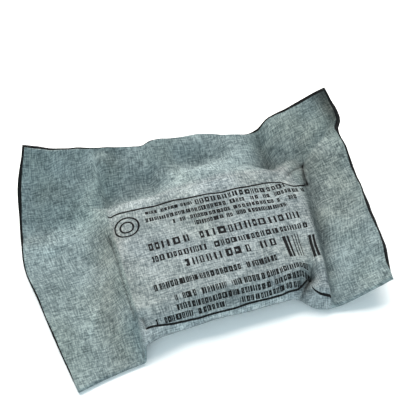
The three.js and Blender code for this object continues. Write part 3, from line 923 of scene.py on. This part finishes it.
def make_wrapper(sizes, finish):
    """The cloth: one folded sheet with its cut edges and inner side in rubber."""
    places, fold_row = wrapper_grid()
    x, y = places[..., 0], places[..., 1]
    # Painted light and shade, with some dirt and wear, from the creases and the wide places
    shade_and_wear = line_sum(CREASES, x, y, CREASE_SHADE_AND_DIRT, 1) + line_sum(PAINTED_SHADING_AND_WEAR, x, y, STRENGTH, 2)
    shade_and_wear[:fold_row] = 0
    marks = {"painted_shade_and_wear": shade_and_wear, "cloth_age": line_sum(AGED, x, y, STRENGTH, 2)}
    wrapper = grid_object("cloth_sheet", places, uv=flat_map(places, fold_row), marks=marks)
    rubber = rubber_material(finish)
    for material in (cloth_material(finish), rubber, rubber):
        wrapper.data.materials.append(material)
    thicken(wrapper, sizes.cloth_thickness, inner_slot=INNER, rim_slot=RIM)
    bare_upper_rim(wrapper)
    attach(wrapper, "root")
    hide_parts("cloth_wrapper")


def make_bond(sizes, finish):
    """The rubber bond between the leaves, along the left, far and right margins."""
    shares = row_shares(COLUMNS, FOLD_TURNS, UPPER_ROWS)[FOLD_TURNS:]
    across = np.broadcast_to(COLUMNS, shares.shape)
    places = bond_place(across, shares)
    left, right = margins(shares)
    reach = np.minimum(places[..., 0] - left, right - places[..., 0])
    reach = np.minimum(reach, far_y(across) - places[..., 1])
    keep = (reach[1:, 1:] + reach[:-1, :-1]) / 2 < SEAM_WIDTH
    bond = grid_object("rubber_bond", places, keep)
    bond.data.materials.append(rubber_material(finish))
    thicken(bond, sizes.bond_thickness)
    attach(bond, "root")
    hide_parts("rubber_seam")


CORNER_POINTS = 13


def pack_outline(count):
    """Plan outline of the pack, counterclockwise, with its near right corner pushed in."""
    x, y = PACK_LENGTH / 2, PACK_WIDTH / 2
    corners = (
        (x - PACK_PLEAT_CORNER, -y + PACK_PLEAT_CORNER, PACK_PLEAT_CORNER, -90),
        (x - PACK_CORNER, y - PACK_CORNER, PACK_CORNER, 0),
        (-x + PACK_CORNER, y - PACK_CORNER, PACK_CORNER, 90),
        (-x + PACK_CORNER, -y + PACK_CORNER, PACK_CORNER, 180),
    )
    points = []
    for centre_x, centre_y, radius, start in corners:
        for turn in np.radians(np.linspace(start, start + 90, CORNER_POINTS)):
            points.append((centre_x + radius * math.cos(turn), centre_y + radius * math.sin(turn)))
    points = np.array([*points, points[0]])
    run = np.concatenate(([0], np.cumsum(np.linalg.norm(np.diff(points, axis=0), axis=1))))
    at = np.linspace(0, run[-1], count, endpoint=False)
    return np.stack((np.interp(at, run, points[:, 0]), np.interp(at, run, points[:, 1])), axis=-1)


# The dressing: points round it, rings of its side and top, layers and depth of their edges, and
# its clearance from the cloth at its side, top and underside
PAD_POINTS = 220
PAD_SIDE_RINGS = 40
PAD_TOP_RINGS = 26
PAD_LAYERS = 6
LAYER_EDGE = 0.55
LAYER_ROUNDNESS = 0.6
PAD_SIDE_ROOM = 0.9
PAD_TOP_ROOM = 0.5
PAD_UNDER_ROOM = 0.1


def make_pad(sizes, finish):
    """The dressing: folded pads and bandage in one soft block, layered round its sides."""
    outline = pack_outline(PAD_POINTS)
    rings = []
    for ring in range(PAD_SIDE_RINGS + 1):
        turn = mix(-np.pi / 2, np.pi / 2, ring / PAD_SIDE_RINGS)
        rise = math.sin(turn)
        edge = LAYER_EDGE * abs(math.sin(np.pi * PAD_LAYERS * (rise + 1) / 2)) ** LAYER_ROUNDNESS
        inset = PACK_EDGE * (1 - math.cos(turn)) + PAD_SIDE_ROOM - edge * math.cos(turn)
        rings.append((inset, rise))
    insets = np.linspace(PACK_EDGE + PAD_SIDE_ROOM, PACK_WIDTH / 2, PAD_TOP_RINGS + 1)[1:-1]
    rings = [(i, -1) for i in insets[::-1]] + rings + [(i, 1) for i in insets]
    places = []
    for inset, rise in rings:
        x = outline[:, 0] * (1 - 2 * inset / PACK_LENGTH)
        y = outline[:, 1] * (1 - 2 * inset / PACK_WIDTH)
        top = face_height(x, y) - CLOTH_ABOVE_PACK - PAD_TOP_ROOM + small_waves(PAD_WAVES, x, y)
        target = top if rise > 0 else np.full(PAD_POINTS, PACK_BASE + PAD_UNDER_ROOM)
        z = mix(PACK_MIDDLE, target, abs(rise))
        places.append(np.stack((x, y, z), axis=-1))
    grid = np.array(places)
    grid = np.concatenate((grid, grid[:, :1]), axis=1)
    pad = grid_object("dressing_pad", grid)
    select_only(pad)
    bpy.ops.object.mode_set(mode="EDIT")
    bpy.ops.mesh.select_all(action="SELECT")
    bpy.ops.mesh.remove_doubles(threshold=0.01 * MM)
    bpy.ops.mesh.select_all(action="DESELECT")
    bpy.ops.mesh.select_mode(type="EDGE")
    bpy.ops.mesh.select_non_manifold()
    bpy.ops.mesh.fill()
    bpy.ops.mesh.select_all(action="SELECT")
    bpy.ops.mesh.normals_make_consistent(inside=False)
    bpy.ops.object.mode_set(mode="OBJECT")
    bpy.ops.object.shade_smooth_by_angle(angle=PAD_ANGLE)
    pad.data.materials.append(gauze_material(finish))
    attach(pad, "root")
    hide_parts("dressing_pack")


# The stage, in metres and degrees
FLOOR_SIZE = 6
FLOOR_DROP = 0.0002
LAMP_SIZE = (1.4, 0.95)
WINDOW_PLACE = (0.03, 0.66, 0.78)
FILL_PLACE = (-0.2, -0.8, 0.25)
LAMP_TARGET = (0, 0, 0.01)
SENSOR_WIDTH = 36
LENS = 86.93
CAMERA_PLACE = (-0.07441, -0.2522, 0.4414)
CAMERA_ELEVATION = 56.34
CAMERA_AZIMUTH = -16.46


def aim(thing, target):
    thing.rotation_mode = "QUATERNION"
    way = Vector(target) - thing.location
    thing.rotation_quaternion = way.to_track_quat("-Z", "Y")


def make_stage(finish):
    """The floor, the soft light, the pale room and the camera at the photo's angle."""
    scene = bpy.context.scene
    scene.view_settings.view_transform = "Standard"
    bpy.ops.object.select_all(action="DESELECT")
    bpy.ops.mesh.primitive_plane_add(size=FLOOR_SIZE, location=(0, 0, -FLOOR_DROP))
    floor = bpy.context.active_object
    floor.name = "floor"
    floor.data.materials.append(floor_material(finish))
    world = bpy.data.worlds.new("pale_room")
    world.use_nodes = True
    background = world.node_tree.nodes["Background"].inputs
    background["Color"].default_value = (*finish.room, 1)
    background["Strength"].default_value = finish.room_light
    scene.world = world
    for name, place, colour, power in (
        ("window_light", WINDOW_PLACE, finish.window, finish.window_light),
        ("front_fill", FILL_PLACE, finish.room, finish.fill_light),
    ):
        lamp = bpy.data.lights.new(name, "AREA")
        lamp.shape = "RECTANGLE"
        lamp.size, lamp.size_y = LAMP_SIZE
        lamp.energy = power
        lamp.color = colour
        light = bpy.data.objects.new(name, lamp)
        light.location = place
        scene.collection.objects.link(light)
        aim(light, LAMP_TARGET)
    camera_data = bpy.data.cameras.new("camera")
    camera_data.sensor_width = SENSOR_WIDTH
    camera_data.lens = LENS
    camera = bpy.data.objects.new("camera", camera_data)
    camera.location = CAMERA_PLACE
    scene.collection.objects.link(camera)
    elevation, azimuth = math.radians(CAMERA_ELEVATION), math.radians(CAMERA_AZIMUTH)
    flat = math.cos(elevation)
    back = Vector((math.sin(azimuth) * flat, -math.cos(azimuth) * flat, math.sin(elevation)))
    aim(camera, camera.location - back)
    scene.camera = camera


def colour_property(name, hex_colour, description):
    """A colour that a user can change."""
    return bpy.props.FloatVectorProperty(
        name=name, description=description, default=linear(hex_colour), subtype="COLOR"
    )


def light_property(name, strength, description, unit="POWER"):
    """The strength of a light, which a user can change."""
    return bpy.props.FloatProperty(
        name=name, description=description, default=strength, min=0, unit=unit
    )


class DressingSizes(bpy.types.PropertyGroup):
    """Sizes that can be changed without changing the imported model."""

    cloth_thickness: bpy.props.FloatProperty(
        name="Cloth thickness",
        description="Thickness of the rubberised cloth",
        default=0.001,
        min=0.0005,
        max=0.0012,
        precision=4,
        unit="LENGTH",
    )
    bond_thickness: bpy.props.FloatProperty(
        name="Bond thickness",
        description="Thickness of the rubber between the two leaves",
        default=0.0008,
        min=0.0002,
        max=0.0009,
        precision=4,
        unit="LENGTH",
    )


class DressingFinish(bpy.types.PropertyGroup):
    """Colours of the materials and strengths of the lights."""

    cloth: colour_property("Cloth", "#6A7376", "Colour of most of the cloth's threads")
    light_thread: colour_property("Light thread", "#949C9E", "Colour of the thick light threads")
    ground: colour_property(
        "Ground", "#444D51", "Colour between the threads, where the rubber shows through"
    )
    stain: colour_property("Stain", "#EDEBD8", "Tint of the large pale stains on the cloth")
    aged: colour_property(
        "Aged places", "#FFF2E8", "Tint of the places that have turned brownish with age"
    )
    flange: colour_property("Flange", "#E9F2F1", "Tint of the cloth outside the pressed face")
    rubber: colour_property("Rubber", "#0E1011", "Colour of the black rubber")
    ink: colour_property("Ink", "#08090A", "Colour of the print")
    gauze: colour_property("Gauze", "#ECE9DF", "Colour of the dressing inside")
    floor: colour_property("Floor", "#F7F8F9", "Colour of the floor")
    room: colour_property("Room", "#E2F6FC", "Colour of the light from all round")
    window: colour_property("Window", "#FFF7F0", "Colour of the soft light behind the object")
    room_light: light_property("Room light", 0.58, "Strength of the light from all round", "NONE")
    window_light: light_property("Window light", 29, "Power of the soft light behind the object")
    fill_light: light_property("Fill light", 8, "Power of the weak light in front of the object")


class DRESSING_OT_wrapper(bpy.types.Operator):
    """Make the folded cloth wrapper"""

    bl_idname = "dressing.wrapper"
    bl_label = "Cloth wrapper"

    def execute(self, context):
        make_wrapper(context.scene.dressing_sizes, context.scene.dressing_finish)
        return {"FINISHED"}


class DRESSING_OT_bond(bpy.types.Operator):
    """Make the rubber bond between the leaves"""

    bl_idname = "dressing.bond"
    bl_label = "Rubber bond"

    def execute(self, context):
        make_bond(context.scene.dressing_sizes, context.scene.dressing_finish)
        return {"FINISHED"}


class DRESSING_OT_pad(bpy.types.Operator):
    """Make the folded dressing inside the wrapper"""

    bl_idname = "dressing.pad"
    bl_label = "Dressing"

    def execute(self, context):
        make_pad(context.scene.dressing_sizes, context.scene.dressing_finish)
        return {"FINISHED"}


class DRESSING_OT_stage(bpy.types.Operator):
    """Make the floor, the lights and the camera"""

    bl_idname = "dressing.stage"
    bl_label = "Stage"

    def execute(self, context):
        make_stage(context.scene.dressing_finish)
        return {"FINISHED"}


class DRESSING_PT_sidebar(bpy.types.Panel):
    """The sizes, the colours and a button for each piece"""

    bl_idname = "DRESSING_PT_sidebar"
    bl_label = "First aid dressing"
    bl_space_type = "VIEW_3D"
    bl_region_type = "UI"
    bl_category = "Dressing"

    def draw(self, context):
        for group in (context.scene.dressing_sizes, context.scene.dressing_finish):
            for name in group.__annotations__:
                self.layout.prop(group, name)
        for operator in OPERATORS:
            self.layout.operator(operator.bl_idname)


OPERATORS = (DRESSING_OT_pad, DRESSING_OT_bond, DRESSING_OT_wrapper, DRESSING_OT_stage)
CLASSES = (DressingSizes, DressingFinish, *OPERATORS, DRESSING_PT_sidebar)


def register():
    for cls in CLASSES:
        bpy.utils.register_class(cls)
    bpy.types.Scene.dressing_sizes = bpy.props.PointerProperty(type=DressingSizes)
    bpy.types.Scene.dressing_finish = bpy.props.PointerProperty(type=DressingFinish)


def unregister():
    del bpy.types.Scene.dressing_finish
    del bpy.types.Scene.dressing_sizes
    for cls in reversed(CLASSES):
        bpy.utils.unregister_class(cls)


def main():
    register()
    bpy.ops.dressing.pad()
    bpy.ops.dressing.bond()
    bpy.ops.dressing.wrapper()
    bpy.ops.dressing.stage()


if __name__ == "__main__":
    main()
